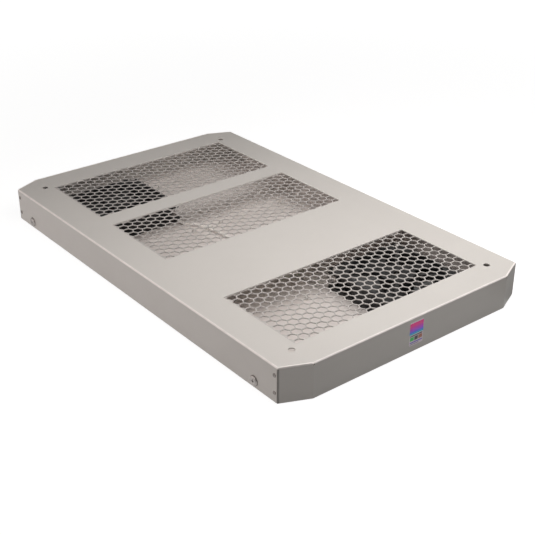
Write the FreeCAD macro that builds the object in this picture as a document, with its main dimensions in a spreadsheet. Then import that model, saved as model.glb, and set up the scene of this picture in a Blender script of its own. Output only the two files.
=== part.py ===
"""Rack fan tray: a folded sheet-metal housing with three perforated windows, and two axial fans on its floor.

Frame: X across the tray, Y from the front to the rear, Z up. The origin is at the middle of the underside.
All sizes are in millimetres and are kept in the spreadsheet called sizes.
"""
import FreeCAD, Part
import math
import os
import re
import Sketcher
from FreeCAD import Placement, Rotation, Vector

SIZES = {
    # housing
    "tray_width": 368,
    "tray_length": 602,
    "tray_height": 43.6,
    "cover_sheet": 1.2,
    "bend_radius": 2.0,
    "chamfer_across": 35,
    "chamfer_along": 15.7,
    "seam_gap": 0.8,
    "tab_length": 16,
    "tab_margin": 3,
    "relief_size": 2.5,
    "fit_gap": 0.3,
    # windows and their perforated sheets
    "window_width": 281.7,
    "window_length": 125,
    "end_row": 198.5,
    "middle_row": 44,
    "mesh_sheet": 1,
    "mesh_margin": 5,
    "mesh_corner": 8,
    "hex_pitch": 24,
    "hex_web": 4,
    # fixings of the housing
    "corner_hole_inset": 33,
    "corner_hole_radius": 4,
    "rivet_inset": 4.5,
    "rivet_rise": 11,
    "rivet_radius": 2.4,
    "rivet_height": 0.8,
    "side_screw_inset": 54,
    "side_screw_rise": 8.6,
    "side_head_radius": 6.3,
    "side_head_height": 2.6,
    "side_shank_radius": 2.5,
    "side_shank_length": 9,
    "side_nut_radius": 4.6,
    "side_nut_height": 4,
    "hole_clearance": 0.25,
    # base
    "base_sheet": 1.2,
    "rail_sheet": 1.2,
    "rail_height": 17,
    "rail_foot": 14,
    "rail_setback": 42,
    "fan_column": 75,
    "fan_shift": 3.5,
    "opening_radius": 57,
    "blank_side": 120,
    "blank_sheet": 1,
    "blank_corner": 6,
    "blank_head_radius": 4,
    "blank_head_height": 2.8,
    # fans
    "fan_side": 120,
    "fan_depth": 25.5,
    "fan_corner": 4,
    "fan_flange": 4.5,
    "hole_spacing": 105,
    "bore_radius": 57.75,
    "strut_width": 5,
    "strut_depth": 3,
    "strut_reach": 65,
    "tube_radius": 5.5,
    "tube_bottom": 7,
    "tube_shoulder": 1.5,
    "tube_passage": 2.5,
    "bush_radius": 4,
    "bush_height": 14,
    "bush_fit": 0.03,
    "shaft_radius": 1.5,
    "shaft_top": 24.5,
    "running_fit": 0.03,
    "hub_radius": 22,
    "hub_bottom": 2.5,
    "hub_top": 20.5,
    "hub_wall": 1.5,
    "hub_floor": 2,
    "hub_edge": 1.5,
    "hub_boss_radius": 3.5,
    "hub_boss_height": 4,
    "magnet_wall": 1.7,
    "magnet_gap": 0.8,
    "magnet_setback": 1,
    "stator_bottom": 9,
    "stator_top": 19.5,
    "stator_collar": 8.5,
    "tip_gap": 1,
    "blade_count": 5,
    "blade_thickness": 1.6,
    "blade_bottom": 4,
    "blade_top": 20,
    "root_reach": 10,
    "tip_reach": 23,
    "tip_sweep": 6,
    "blade_camber": 2.2,
    "screw_radius": 2,
    "screw_head_radius": 3.6,
    "screw_head_height": 2.6,
    # finger guards
    "guard_sheet": 1,
    "guard_disc_radius": 16,
    "guard_ring_radius": 36,
    "guard_ring_width": 3,
    "guard_arm_width": 5,
    # wiring
    "block_row": 77,
    "block_width": 38,
    "block_length": 22,
    "block_height": 16,
    "block_step": 6,
    "block_foot": 7,
    "block_well_radius": 3,
    "block_well_depth": 5,
    "block_well_pitch": 11,
    "stud_across": 45,
    "stud_radius": 2.5,
    "stud_height": 13,
    "stud_nut_radius": 4.6,
    "stud_nut_height": 4,
    "lead_width": 4.5,
    "lead_height": 2.2,
    "lead_across": 20,
    "clip_width": 12,
    "clip_length": 7,
    "clip_top": 1.4,
    "grommet_inset": 54,
    "grommet_rise": 21,
    "grommet_bore": 4,
    "grommet_neck": 7,
    "grommet_lip": 9.5,
    "grommet_lip_height": 1.6,
}

MESH_ROWS = {"front_mesh": "-end_row", "middle_mesh": "middle_row", "rear_mesh": "end_row"}
# The fan places stand a little nearer the middle and the front than their windows.
BLANKS = {
    "front_left_blank": ("-fan_column", "-end_row + fan_shift"),
    "middle_left_blank": ("-fan_column", "middle_row - fan_shift"),
    "middle_right_blank": ("fan_column", "middle_row - fan_shift"),
    "rear_right_blank": ("fan_column", "end_row - fan_shift"),
}
FANS = {
    "front_fan": ("fan_column", "-end_row + fan_shift"),
    "rear_fan": ("-fan_column", "end_row - fan_shift"),
}
CORNERS = [(1, 1), (-1, 1), (-1, -1), (1, -1)]
FRONT = [corner for corner in CORNERS if corner[1] < 0]
REAR = [corner for corner in CORNERS if corner[1] > 0]
# Where the corner wings start, measured from the middle, and their length in plan.
WING_START = "tray_length / 2 - chamfer_along"
SLANT = "hypot(chamfer_across; chamfer_along)"
# Where the cord grommet sits across the rear wall.
GROMMET_ACROSS = "grommet_inset - tray_width / 2"
# The fan leads' routes on the floor, as points for the middle of the lead.
FRONT_LEAD = [(20, -124), (8, -104), (8, -88)]
REAR_LEAD = [(-20, 124), (-5, 104), (1, 76), (4, 40), (-2, 4), (2, -34), (2, -66)]
CLIPPED_RUNS = slice(2, 5, 2)

doc = FreeCAD.newDocument("rack_fan_tray")
sheet = doc.addObject("Spreadsheet::Sheet", "sizes")
for row, (alias, number) in enumerate(SIZES.items(), 1):
    sheet.set(f"A{row}", alias)
    sheet.set(f"B{row}", str(number))
    sheet.setAlias(f"B{row}", alias)
doc.recompute()
SIZE_NAME = re.compile(r"\b(" + "|".join(SIZES) + r")\b")
parts = []


def bound(text):
    """An expression on the sizes, written the way the document reads it."""
    return SIZE_NAME.sub(r"sizes.\1", text)


def size(text):
    """What an expression on the sizes comes to now."""
    return float(sheet.evalExpression(bound(text)))


def bind(item, **properties):
    """Ties an object's properties to expressions on the sizes."""
    for name, text in properties.items():
        item.setExpression(name, bound(text))


def place(item, x="0", y="0", z="0"):
    """Ties an object's position to expressions on the sizes."""
    for axis, text in (("x", x), ("y", y), ("z", z)):
        item.setExpression(f"Placement.Base.{axis}", bound(text))


def register(item, label):
    """Names an object as a finished sub-part."""
    item.Label = label
    parts.append(item)
    return item


# ---- sketches -------------------------------------------------------------------------------------------------------


def new_sketch(body, name, plane="XY_Plane", lift="0"):
    """A sketch on one of the body's own planes, moved along the plane's normal by lift."""
    sketch = body.newObject("Sketcher::SketchObject", name)
    support = next(f for f in body.Origin.OriginFeatures if f.Role == plane)
    sketch.AttachmentSupport = [(support, "")]
    sketch.MapMode = "FlatFace"
    sketch.setExpression("AttachmentOffset.Base.z", bound(lift))
    return sketch


def constrain(sketch, kind, *elements, text):
    """Adds a dimension that follows an expression."""
    index = sketch.addConstraint(Sketcher.Constraint(kind, *elements, size(text)))
    sketch.setExpression(f"Constraints[{index}]", bound(text))


def hold(sketch, geometry, point, x, y):
    """Holds a sketch point at the place that two expressions give."""
    constrain(sketch, "DistanceX", -1, 1, geometry, point, text=x)
    constrain(sketch, "DistanceY", -1, 1, geometry, point, text=y)


def outline(sketch, points):
    """A closed outline of straight lines through points given as pairs of expressions."""
    places = [Vector(size(x), size(y), 0) for x, y in points]
    count = len(points)
    first = sketch.GeometryCount
    for i in range(count):
        sketch.addGeometry(Part.LineSegment(places[i], places[(i + 1) % count]))
    for i in range(count):
        sketch.addConstraint(Sketcher.Constraint("Coincident", first + i, 2, first + (i + 1) % count, 1))
        hold(sketch, first + i, 1, *points[i])


def rectangle(sketch, low_x, low_y, high_x, high_y):
    outline(sketch, [(low_x, low_y), (high_x, low_y), (high_x, high_y), (low_x, high_y)])


def circle(sketch, x, y, radius):
    middle = Vector(size(x), size(y), 0)
    geometry = sketch.addGeometry(Part.Circle(middle, Vector(0, 0, 1), size(radius)))
    hold(sketch, geometry, 3, x, y)
    constrain(sketch, "Radius", geometry, text=radius)


def screw_hole(sketch, x, y, radius):
    """An eight-sided hole for a threaded shank, which is drawn eight-sided as well."""
    points = []
    for turn in range(8):
        angle = turn * 45
        points.append((f"{x} + ({radius}) * cos({angle} deg)", f"{y} + ({radius}) * sin({angle} deg)"))
    outline(sketch, points)


def signed(text, sign):
    return f"{'-' if sign < 0 else ''}({text})"


def eight_sided(half_x, half_y, cut_x, cut_y):
    """The corner points of a rectangle whose corners are cut off, going round anticlockwise."""
    points = []
    for sign_x, sign_y in CORNERS:
        side = (signed(half_x, sign_x), signed(f"{half_y} - ({cut_y})", sign_y))
        end = (signed(f"{half_x} - ({cut_x})", sign_x), signed(half_y, sign_y))
        points += [side, end] if sign_x == sign_y else [end, side]
    return points


def tray_outline(inset):
    """The housing's plan, with all eight sides moved in by inset."""
    cut_x = f"chamfer_across - ({inset}) * (chamfer_across + chamfer_along - {SLANT}) / chamfer_along"
    cut_y = f"chamfer_along - ({inset}) * (chamfer_across + chamfer_along - {SLANT}) / chamfer_across"
    return eight_sided(f"tray_width / 2 - ({inset})", f"tray_length / 2 - ({inset})", cut_x, cut_y)


# ---- features -------------------------------------------------------------------------------------------------------


def new_body(label):
    body = doc.addObject("PartDesign::Body", label)
    return register(body, label)


def pad(body, sketch, length, name):
    """Raises a sketch upwards along its normal."""
    feature = body.newObject("PartDesign::Pad", name)
    feature.Profile = sketch
    bind(feature, Length=length)
    return feature


def pocket(body, sketch, length, name):
    """Cuts a sketch upwards along its normal, and makes sure that it took something away."""
    before = volume(body)
    feature = body.newObject("PartDesign::Pocket", name)
    feature.Profile = sketch
    feature.Reversed = True
    bind(feature, Length=length)
    if not volume(body) < before:
        raise RuntimeError(f"{body.Label}: {name} cuts nothing")
    return feature


def volume(body):
    doc.recompute()
    return body.Shape.Volume


def revolve(body, sketch, name, cut=False):
    """Turns a sketch on the upright plane once round the Z axis, to add or to cut."""
    before = volume(body) if cut else 0
    feature = body.newObject("PartDesign::Groove" if cut else "PartDesign::Revolution", name)
    feature.Profile = sketch
    feature.ReferenceAxis = (sketch, ["V_Axis"])
    feature.Angle = 360
    if cut and not volume(body) < before:
        raise RuntimeError(f"{body.Label}: {name} cuts nothing")
    return feature


def polar(body, feature, count, name):
    """Repeats a feature evenly round the body's Z axis."""
    pattern = body.newObject("PartDesign::PolarPattern", name)
    pattern.Originals = [feature]
    pattern.Axis = (next(f for f in body.Origin.OriginFeatures if f.Role == "Z_Axis"), [""])
    pattern.Angle = 360
    bind(pattern, Occurrences=count)
    body.Tip = pattern
    return pattern


def grid(body, feature, axes, name):
    """Repeats a feature in a grid; each axis gives its role, its extent and its count."""
    pattern = body.newObject("PartDesign::LinearPattern", name)
    pattern.Originals = [feature]
    for suffix, (role, extent, count) in zip(("", "2"), axes):
        axis = next(f for f in body.Origin.OriginFeatures if f.Role == role)
        setattr(pattern, f"Direction{suffix}", (axis, [""]))
        bind(pattern, **{f"Length{suffix}": extent, f"Occurrences{suffix}": count})
    body.Tip = pattern
    return pattern


# ---- housing --------------------------------------------------------------------------------------------------------


def top_bend_edges(body, level, reach_x, reach_y):
    """Names of the straight edges at a height that run along the side walls and the front wall."""
    names = []
    for index, edge in enumerate(body.Shape.Edges, 1):
        box = edge.BoundBox
        flat = abs(box.ZMin - level) < 0.01 and abs(box.ZMax - level) < 0.01
        on_side = abs(abs(box.XMin) - reach_x) < 0.01 and abs(box.XMax - box.XMin) < 0.01
        on_front = abs(box.YMin + reach_y) < 0.01 and abs(box.YMax - box.YMin) < 0.01
        if flat and (on_side or on_front):
            names.append(f"Edge{index}")
    return names


def fillet(body, level, inset, radius, name):
    """Rounds the three long bends at a height, on the faces that lie inset from the housing's outside."""
    doc.recompute()
    reach_x = size(f"tray_width / 2 - ({inset})")
    reach_y = size(f"tray_length / 2 - ({inset})")
    edges = top_bend_edges(body, size(level), reach_x, reach_y)
    base = body.Tip
    feature = body.newObject("PartDesign::Fillet", name)
    feature.Base = (base, edges)
    bind(feature, Radius=radius)
    return feature


def make_top_cover():
    """The folded cover: roof, side walls, and a front wall whose wings have tabs behind the side walls."""
    body = new_body("top_cover")
    plan = new_sketch(body, "cover_plan")
    outline(plan, tray_outline("0"))
    pad(body, plan, "tray_height", "cover_block")
    inside = new_sketch(body, "cover_inside")
    outline(inside, tray_outline("cover_sheet"))
    pocket(body, inside, "tray_height - cover_sheet", "cover_hollow")
    fillet(body, "tray_height", "0", "bend_radius", "outer_bends")
    fillet(body, "tray_height - cover_sheet", "cover_sheet", "bend_radius - cover_sheet", "inner_bends")
    wing_tabs(body, FRONT)

    # The rear wall and its wings are a piece of their own, so under the roof the rear is open.
    rear = new_sketch(body, "rear_plan")
    beside = "tray_width / 2 + seam_gap"
    within = "tray_width / 2 - cover_sheet"
    behind = "tray_length / 2 + seam_gap"
    right = [(within, f"{WING_START} - cover_sheet"), (within, WING_START), (beside, WING_START), (beside, behind)]
    outline(rear, right + [(f"-({x})", y) for x, y in right[::-1]])
    pocket(body, rear, "tray_height - cover_sheet", "rear_opening")

    # Seams: the side walls stop just short of the wings.
    seams = new_sketch(body, "seam_plan")
    for sign_x, sign_y in CORNERS:
        xs = [signed(f"tray_width / 2 + {t}", sign_x) for t in ("-cover_sheet", "cover_sheet")]
        ys = [signed(f"tray_length / 2 - chamfer_along - {t}", sign_y) for t in ("seam_gap", "0")]
        rectangle(seams, xs[0], ys[0], xs[1], ys[1])
    pocket(body, seams, "tray_height - bend_radius", "seams")

    # Bend reliefs: small notches where the front wall's top bend stops at the wings.
    reliefs = new_sketch(body, "relief_plan", lift="tray_height - cover_sheet - relief_size")
    for sign_x, sign_y in FRONT:
        middle = "tray_width / 2 - chamfer_across"
        xs = [signed(f"{middle} + {t} * relief_size", sign_x) for t in ("-0.5", "0.5")]
        ys = [signed(f"tray_length / 2 + {t}", sign_y) for t in ("-bend_radius", "cover_sheet")]
        rectangle(reliefs, xs[0], ys[0], xs[1], ys[1])
    pocket(body, reliefs, "relief_size", "reliefs")

    windows = new_sketch(body, "window_plan", lift="tray_height / 2")
    for row in MESH_ROWS.values():
        half = "window_length / 2"
        rectangle(windows, "-window_width / 2", f"{row} - {half}", "window_width / 2", f"{row} + {half}")
    pocket(body, windows, "tray_height", "windows")

    holes = new_sketch(body, "corner_hole_plan", lift="tray_height / 2")
    for sign_x, sign_y in CORNERS:
        x = signed("tray_width / 2 - corner_hole_inset", sign_x)
        y = signed("tray_length / 2 - corner_hole_inset", sign_y)
        circle(holes, x, y, "corner_hole_radius")
    pocket(body, holes, "tray_height", "corner_holes")
    side_holes(body)
    return body


def wing_tabs(body, corners):
    """Tabs: each wing's end is folded flat behind the side wall."""
    tabs = new_sketch(body, body.Label + "_tab_plan", lift="tab_margin")
    for sign_x, sign_y in corners:
        xs = [signed(f"tray_width / 2 - {n} * cover_sheet", sign_x) for n in (2, 1)]
        ys = [signed(f"{WING_START} {t}", sign_y) for t in ("- tab_length", "+ seam_gap")]
        rectangle(tabs, xs[0], ys[0], xs[1], ys[1])
    pad(body, tabs, "tray_height - cover_sheet - 2 * tab_margin", body.Label + "_tabs")


def make_rear_wall():
    """The separate rear wall under the roof's rear edge, with its own wings, tabs and cable outlet."""
    body = new_body("rear_wall")
    plan = new_sketch(body, "rear_wall_plan")
    outside = rear_run("tray_width / 2", "tray_width / 2 - chamfer_across", "tray_length / 2")
    reach = f"cover_sheet * {SLANT} / chamfer_along"
    bend = f"chamfer_across + cover_sheet * ({SLANT} - chamfer_across) / chamfer_along"
    inside = rear_run(f"tray_width / 2 - {reach}", f"tray_width / 2 - ({bend})", "tray_length / 2 - cover_sheet")
    outline(plan, outside + inside[::-1])
    pad(body, plan, "tray_height - cover_sheet", "rear_wall_sheet")
    wing_tabs(body, REAR)
    outlet = new_sketch(body, "outlet_profile", "XZ_Plane", "-tray_length / 2 - cover_sheet")
    circle(outlet, GROMMET_ACROSS, "grommet_rise", "grommet_neck + fit_gap")
    pocket(body, outlet, "3 * cover_sheet", "cable_outlet")
    return body


def rear_run(end_x, bend_x, wall_y):
    """One face of the rear wall in plan, from the right wing's end to the left wing's."""
    return [(end_x, WING_START), (bend_x, wall_y), (f"-({bend_x})", wall_y), (f"-({end_x})", WING_START)]


def side_holes(body):
    """Holes for the side screws, through both side walls."""
    profile = new_sketch(body, "side_hole_profile", "YZ_Plane", "-tray_width")
    for sign in (1, -1):
        y = signed("tray_length / 2 - side_screw_inset", sign)
        screw_hole(profile, y, "side_screw_rise", "side_shank_radius + hole_clearance")
    pocket(body, profile, "2 * tray_width", "side_holes")


def make_mesh(label, row):
    """A perforated sheet under a window: two interleaved grids of hexagonal holes."""
    body = new_body(label)
    plan = new_sketch(body, label + "_plan")
    half_x = "window_width / 2 + mesh_margin"
    half_y = "window_length / 2 + mesh_margin"
    outline(plan, eight_sided(half_x, half_y, "mesh_corner", "mesh_corner"))
    pad(body, plan, "mesh_sheet", label + "_sheet")

    column = "hex_pitch * sqrt(3) / 2"
    corner = "(hex_pitch - hex_web) / sqrt(3)"
    beside = f"floor((window_width / 2 - {corner}) / (2 * {column}))"
    beside_odd = f"floor((window_width / 2 - {corner} + {column}) / (2 * {column}))"
    above = "floor((window_length / 2 - (hex_pitch - hex_web) / 2) / hex_pitch)"
    above_odd = "floor((window_length / 2 + hex_web / 2) / hex_pitch)"
    for kind, start_x, start_y, columns, rows in (
        ("even", f"-2 * {column} * {beside}", f"-hex_pitch * {above}", f"2 * {beside} + 1", f"2 * {above} + 1"),
        ("odd", f"-{column} * (2 * {beside_odd} - 1)", f"-hex_pitch * ({above_odd} - 0.5)", f"2 * {beside_odd}",
         f"2 * {above_odd}"),
    ):
        hexagon = new_sketch(body, f"{label}_{kind}_hexagon")
        corners = []
        for turn in range(6):
            across = ("1", "0.5", "-0.5", "-1", "-0.5", "0.5")[turn]
            along = ("0", "1", "1", "0", "-1", "-1")[turn]
            x = f"{start_x} + {across} * {corner}"
            y = f"{start_y} + {along} * (hex_pitch - hex_web) / 2"
            corners.append((x, y))
        outline(hexagon, corners)
        hole = pocket(body, hexagon, "mesh_sheet", f"{label}_{kind}_hole")
        axes = [
            ("X_Axis", f"2 * {column} * ({columns} - 1)", columns),
            ("Y_Axis", f"hex_pitch * ({rows} - 1)", rows),
        ]
        grid(body, hole, axes, f"{label}_{kind}_holes")
    place(body, y=row, z="tray_height - cover_sheet - mesh_sheet")
    return body


def make_base_plate():
    """The flat floor, with an opening for each fan place."""
    body = new_body("base_plate")
    plan = new_sketch(body, "base_plan")
    outline(plan, tray_outline("cover_sheet + fit_gap"))
    pad(body, plan, "base_sheet", "base_floor")

    openings = new_sketch(body, "opening_plan")
    for x, y in [*BLANKS.values(), *FANS.values()]:
        circle(openings, x, y, "opening_radius")
    pocket(body, openings, "base_sheet", "fan_openings")

    screws = new_sketch(body, "fan_hole_plan")
    for x, y in FANS.values():
        for sign_x, sign_y in CORNERS:
            at_x = f"{x} + {sign_x} * hole_spacing / 2"
            at_y = f"{y} + {sign_y} * hole_spacing / 2"
            screw_hole(screws, at_x, at_y, "screw_radius + hole_clearance")
    pocket(body, screws, "base_sheet", "fan_holes")
    return body


RAIL_FACE = "tray_width / 2 - cover_sheet - fit_gap"
RAIL_LENGTH = "tray_length - 2 * rail_setback"


def make_rail(label, sign):
    """An angle rail along one side of the floor, through which the side screws hold the cover."""
    body = new_body(label)
    profile = new_sketch(body, label + "_profile", "XZ_Plane", f"-({RAIL_LENGTH}) / 2")
    low = "base_sheet"
    points = [
        (signed(RAIL_FACE, sign), low),
        (signed(RAIL_FACE, sign), "rail_height"),
        (signed(f"{RAIL_FACE} - rail_sheet", sign), "rail_height"),
        (signed(f"{RAIL_FACE} - rail_sheet", sign), f"{low} + rail_sheet"),
        (signed(f"{RAIL_FACE} - rail_foot", sign), f"{low} + rail_sheet"),
        (signed(f"{RAIL_FACE} - rail_foot", sign), low),
    ]
    outline(profile, points)
    pad(body, profile, RAIL_LENGTH, label + "_angle")
    holes = new_sketch(body, label + "_hole_profile", "YZ_Plane", "-tray_width")
    for sign_y in (1, -1):
        y = signed("tray_length / 2 - side_screw_inset", sign_y)
        screw_hole(holes, y, "side_screw_rise", "side_shank_radius + hole_clearance")
    pocket(body, holes, "2 * tray_width", label + "_holes")
    return body


def make_blank(label, x, y):
    """A plate over an unused fan opening."""
    body = new_body(label)
    plan = new_sketch(body, label + "_plan")
    outline(plan, eight_sided("blank_side / 2", "blank_side / 2", "blank_corner", "blank_corner"))
    pad(body, plan, "blank_sheet", label + "_sheet")
    place(body, x, y, "base_sheet")
    return body


# ---- groups of small fixings ----------------------------------------------------------------------------------------


def primitive(kind, name, **properties):
    item = doc.addObject(f"Part::{kind}", name)
    bind(item, **properties)
    return item


def prism(name, sides, radius, height):
    item = primitive("Prism", name, Circumradius=radius, Height=height)
    item.Polygon = sides
    return item


def combine(kind, name, base, tool):
    item = doc.addObject(f"Part::{kind}", name)
    item.Base = base
    item.Tool = tool
    return item


def group(label, items):
    """Identical loose solids that share one node."""
    compound = doc.addObject("Part::Compound", label)
    compound.Links = items
    return register(compound, label)


def make_blank_screws():
    """Hex heads on the four corners of each blank."""
    heads = []
    for x, y in BLANKS.values():
        for sign_x, sign_y in CORNERS:
            head = prism("blank_screw", 6, "blank_head_radius", "blank_head_height")
            at_x = f"{x} + {sign_x} * hole_spacing / 2"
            at_y = f"{y} + {sign_y} * hole_spacing / 2"
            place(head, at_x, at_y, "base_sheet + blank_sheet")
            heads.append(head)
    return group("blank_screws", heads)


def face_outwards(item, sign):
    """Turns an object's Z axis to point out of the side wall on the given side."""
    item.Placement = Placement(Vector(), Rotation(Vector(0, 1, 0), 90 * sign))


def make_corner_rivets():
    """Two rivets through each tab, near the ends of the side walls."""
    rivets = []
    for sign_x, sign_y in CORNERS:
        for rise in ("rivet_rise", "tray_height - rivet_rise"):
            rivet = prism("rivet", 8, "rivet_radius", "rivet_height")
            face_outwards(rivet, sign_x)
            y = signed("tray_length / 2 - chamfer_along - rivet_inset", sign_y)
            place(rivet, signed("tray_width / 2", sign_x), y, rise)
            rivets.append(rivet)
    return group("corner_rivets", rivets)


def make_side_screws():
    """Screws through the side walls and the rails."""
    screws = []
    for sign_x, sign_y in CORNERS:
        head = prism("side_head", 12, "side_head_radius", "side_head_height")
        shank = prism("side_shank", 8, "side_shank_radius", "side_shank_length")
        shank.setExpression("Placement.Base.z", bound("-side_shank_length"))
        screw = combine("Fuse", "side_screw", head, shank)
        face_outwards(screw, sign_x)
        y = signed("tray_length / 2 - side_screw_inset", sign_y)
        place(screw, signed("tray_width / 2", sign_x), y, "side_screw_rise")
        screws.append(screw)
    return group("side_screws", screws)


def make_side_nuts():
    """Nuts on the side screws, against the inner faces of the rails."""
    nuts = []
    for sign_x, sign_y in CORNERS:
        hexagon = prism("nut_hexagon", 6, "side_nut_radius", "side_nut_height")
        bore = prism("nut_bore", 8, "side_shank_radius + running_fit", "side_nut_height")
        nut = combine("Cut", "side_nut", hexagon, bore)
        face_outwards(nut, -sign_x)
        x = signed(f"{RAIL_FACE} - rail_sheet", sign_x)
        y = signed("tray_length / 2 - side_screw_inset", sign_y)
        place(nut, x, y, "side_screw_rise")
        nuts.append(nut)
    return group("side_nuts", nuts)


# ---- fans -----------------------------------------------------------------------------------------------------------


FAN_LIFT = "base_sheet + guard_sheet"
MOTOR_PLATE = "fan_depth - strut_depth"
MAGNET_OUTSIDE = "hub_radius - hub_wall - running_fit"


def make_fan_frame(fan, x, y):
    """A square frame with a round bore, a waist between its flanges, and a seat for an arm at each corner."""
    label = fan + "_frame"
    body = new_body(label)
    plan = new_sketch(body, label + "_plan")
    outline(plan, eight_sided("fan_side / 2", "fan_side / 2", "fan_corner", "fan_corner"))
    pad(body, plan, "fan_depth", label + "_block")
    bore = new_sketch(body, label + "_bore")
    circle(bore, "0", "0", "bore_radius")
    pocket(body, bore, "fan_depth", label + "_throat")
    waist = new_sketch(body, label + "_waist", "XZ_Plane")
    rectangle(waist, "fan_side / 2", "fan_flange", "fan_side", "fan_depth - fan_flange")
    revolve(body, waist, label + "_groove", cut=True)

    holes = new_sketch(body, label + "_holes")
    for sign_x, sign_y in CORNERS:
        at_x = signed("hole_spacing / 2", sign_x)
        at_y = signed("hole_spacing / 2", sign_y)
        screw_hole(holes, at_x, at_y, "screw_radius + hole_clearance")
    pocket(body, holes, "fan_depth", label + "_screw_holes")

    notch = new_sketch(body, label + "_notch", lift=MOTOR_PLATE)
    outline(notch, diagonal_bar("bore_radius - strut_width", "strut_reach + fit_gap", "strut_width / 2 + fit_gap"))
    cut = pocket(body, notch, "strut_depth", label + "_seat")
    polar(body, cut, "4", label + "_seats")
    place(body, x, y, FAN_LIFT)
    return body


def diagonal_bar(start, end, half):
    """A bar in plan that points from the fan's axis towards a corner."""
    side = "cos(45 deg)"
    points = [(start, f"-({half})"), (end, f"-({half})"), (end, half), (start, half)]
    return [(f"(({u}) - ({v})) * {side}", f"(({u}) + ({v})) * {side}") for u, v in points]


def make_spider(fan, x, y):
    """The motor plate with its bearing tube, on four arms that lie in the frame's corner seats."""
    label = fan + "_spider"
    body = new_body(label)
    strut = new_sketch(body, label + "_strut", lift=MOTOR_PLATE)
    outline(strut, diagonal_bar("hub_radius - strut_width", "strut_reach", "strut_width / 2"))
    arm = pad(body, strut, "strut_depth", label + "_arm")
    polar(body, arm, "4", label + "_arms")
    disc = new_sketch(body, label + "_disc", lift=MOTOR_PLATE)
    circle(disc, "0", "0", "hub_radius")
    pad(body, disc, "strut_depth", label + "_motor_plate")
    tube = new_sketch(body, label + "_tube", lift="tube_bottom")
    circle(tube, "0", "0", "tube_radius")
    pad(body, tube, f"{MOTOR_PLATE} - tube_bottom", label + "_bearing_tube")
    seat = new_sketch(body, label + "_seat_plan", lift="tube_bottom + tube_shoulder")
    circle(seat, "0", "0", "bush_radius + bush_fit")
    pocket(body, seat, "fan_depth - tube_bottom - tube_shoulder", label + "_bush_seat")
    passage = new_sketch(body, label + "_passage_plan", lift="tube_bottom")
    circle(passage, "0", "0", "tube_passage")
    pocket(body, passage, "tube_shoulder", label + "_passage")
    place(body, x, y, FAN_LIFT)
    return body


def make_bush(fan, x, y):
    """The bearing bush, which stands on the shoulder at the tube's lower end."""
    label = fan + "_bush"
    outer = primitive("Cylinder", "bush_outside", Radius="bush_radius", Height="bush_height")
    bore = primitive("Cylinder", "bush_bore", Radius="shaft_radius + running_fit", Height="bush_height")
    bush = combine("Cut", label, outer, bore)
    place(bush, x, y, f"{FAN_LIFT} + tube_bottom + tube_shoulder")
    return register(bush, label)


def tube_prism(name, sides, outer, inner, height):
    """A straight prism with a hole of as many sides through it."""
    return combine("Cut", name, prism(name + "_outside", sides, outer, height), prism(name + "_hole", sides, inner, height))


def make_stator(fan, x, y):
    """The eight-sided windings round the bearing tube, with a collar up to the motor plate."""
    label = fan + "_stator"
    inner = "(tube_radius + bush_fit) / cos(22.5 deg)"
    outer = f"{MAGNET_OUTSIDE} - magnet_wall - magnet_gap"
    windings = tube_prism(label + "_windings", 8, outer, inner, "stator_top - stator_bottom")
    collar = tube_prism(label + "_collar", 8, "stator_collar", inner, f"{MOTOR_PLATE} - stator_bottom")
    stator = combine("Fuse", label, windings, collar)
    place(stator, x, y, f"{FAN_LIFT} + stator_bottom")
    return register(stator, label)


def make_magnet(fan, x, y):
    """The sixteen-sided ring magnet inside the hub."""
    label = fan + "_magnet"
    height = "hub_top - hub_bottom - hub_floor - magnet_setback"
    ring = tube_prism(label, 16, MAGNET_OUTSIDE, f"{MAGNET_OUTSIDE} - magnet_wall", height)
    place(ring, x, y, f"{FAN_LIFT} + hub_bottom + hub_floor")
    return register(ring, label)


def make_shaft(fan, x, y):
    """The steel shaft, from the hub's boss up through both bearings."""
    label = fan + "_shaft"
    shaft = primitive("Cylinder", label, Radius="shaft_radius", Height="shaft_top - hub_bottom - hub_floor / 2")
    place(shaft, x, y, f"{FAN_LIFT} + hub_bottom + hub_floor / 2")
    return register(shaft, label)


def blade_section(body, label, distance, reach, shift):
    """A thin curved blade section at a distance from the axis: two parallel arcs joined by straight edges."""
    sketch = new_sketch(body, label, "XZ_Plane", f"-({distance})")
    low_x = size(f"{shift} - {reach}")
    high_x = size(f"{shift} + {reach}")
    low_z = size("blade_bottom")
    high_z = size("blade_top")
    chord = math.hypot(high_x - low_x, high_z - low_z)
    across = Vector(-(high_z - low_z) / chord, (high_x - low_x) / chord, 0)
    thickness = size("blade_thickness")
    camber = size("blade_camber")
    start = Vector(low_x, low_z, 0)
    end = Vector(high_x, high_z, 0)
    middle = (start + end) / 2 + across * camber
    lower = Part.Arc(start, middle, end)
    upper = Part.Arc(start + across * thickness, middle + across * thickness, end + across * thickness)
    sketch.addGeometry(lower)
    sketch.addGeometry(upper)
    sketch.addGeometry(Part.LineSegment(start, start + across * thickness))
    sketch.addGeometry(Part.LineSegment(end, end + across * thickness))
    return sketch


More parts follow.
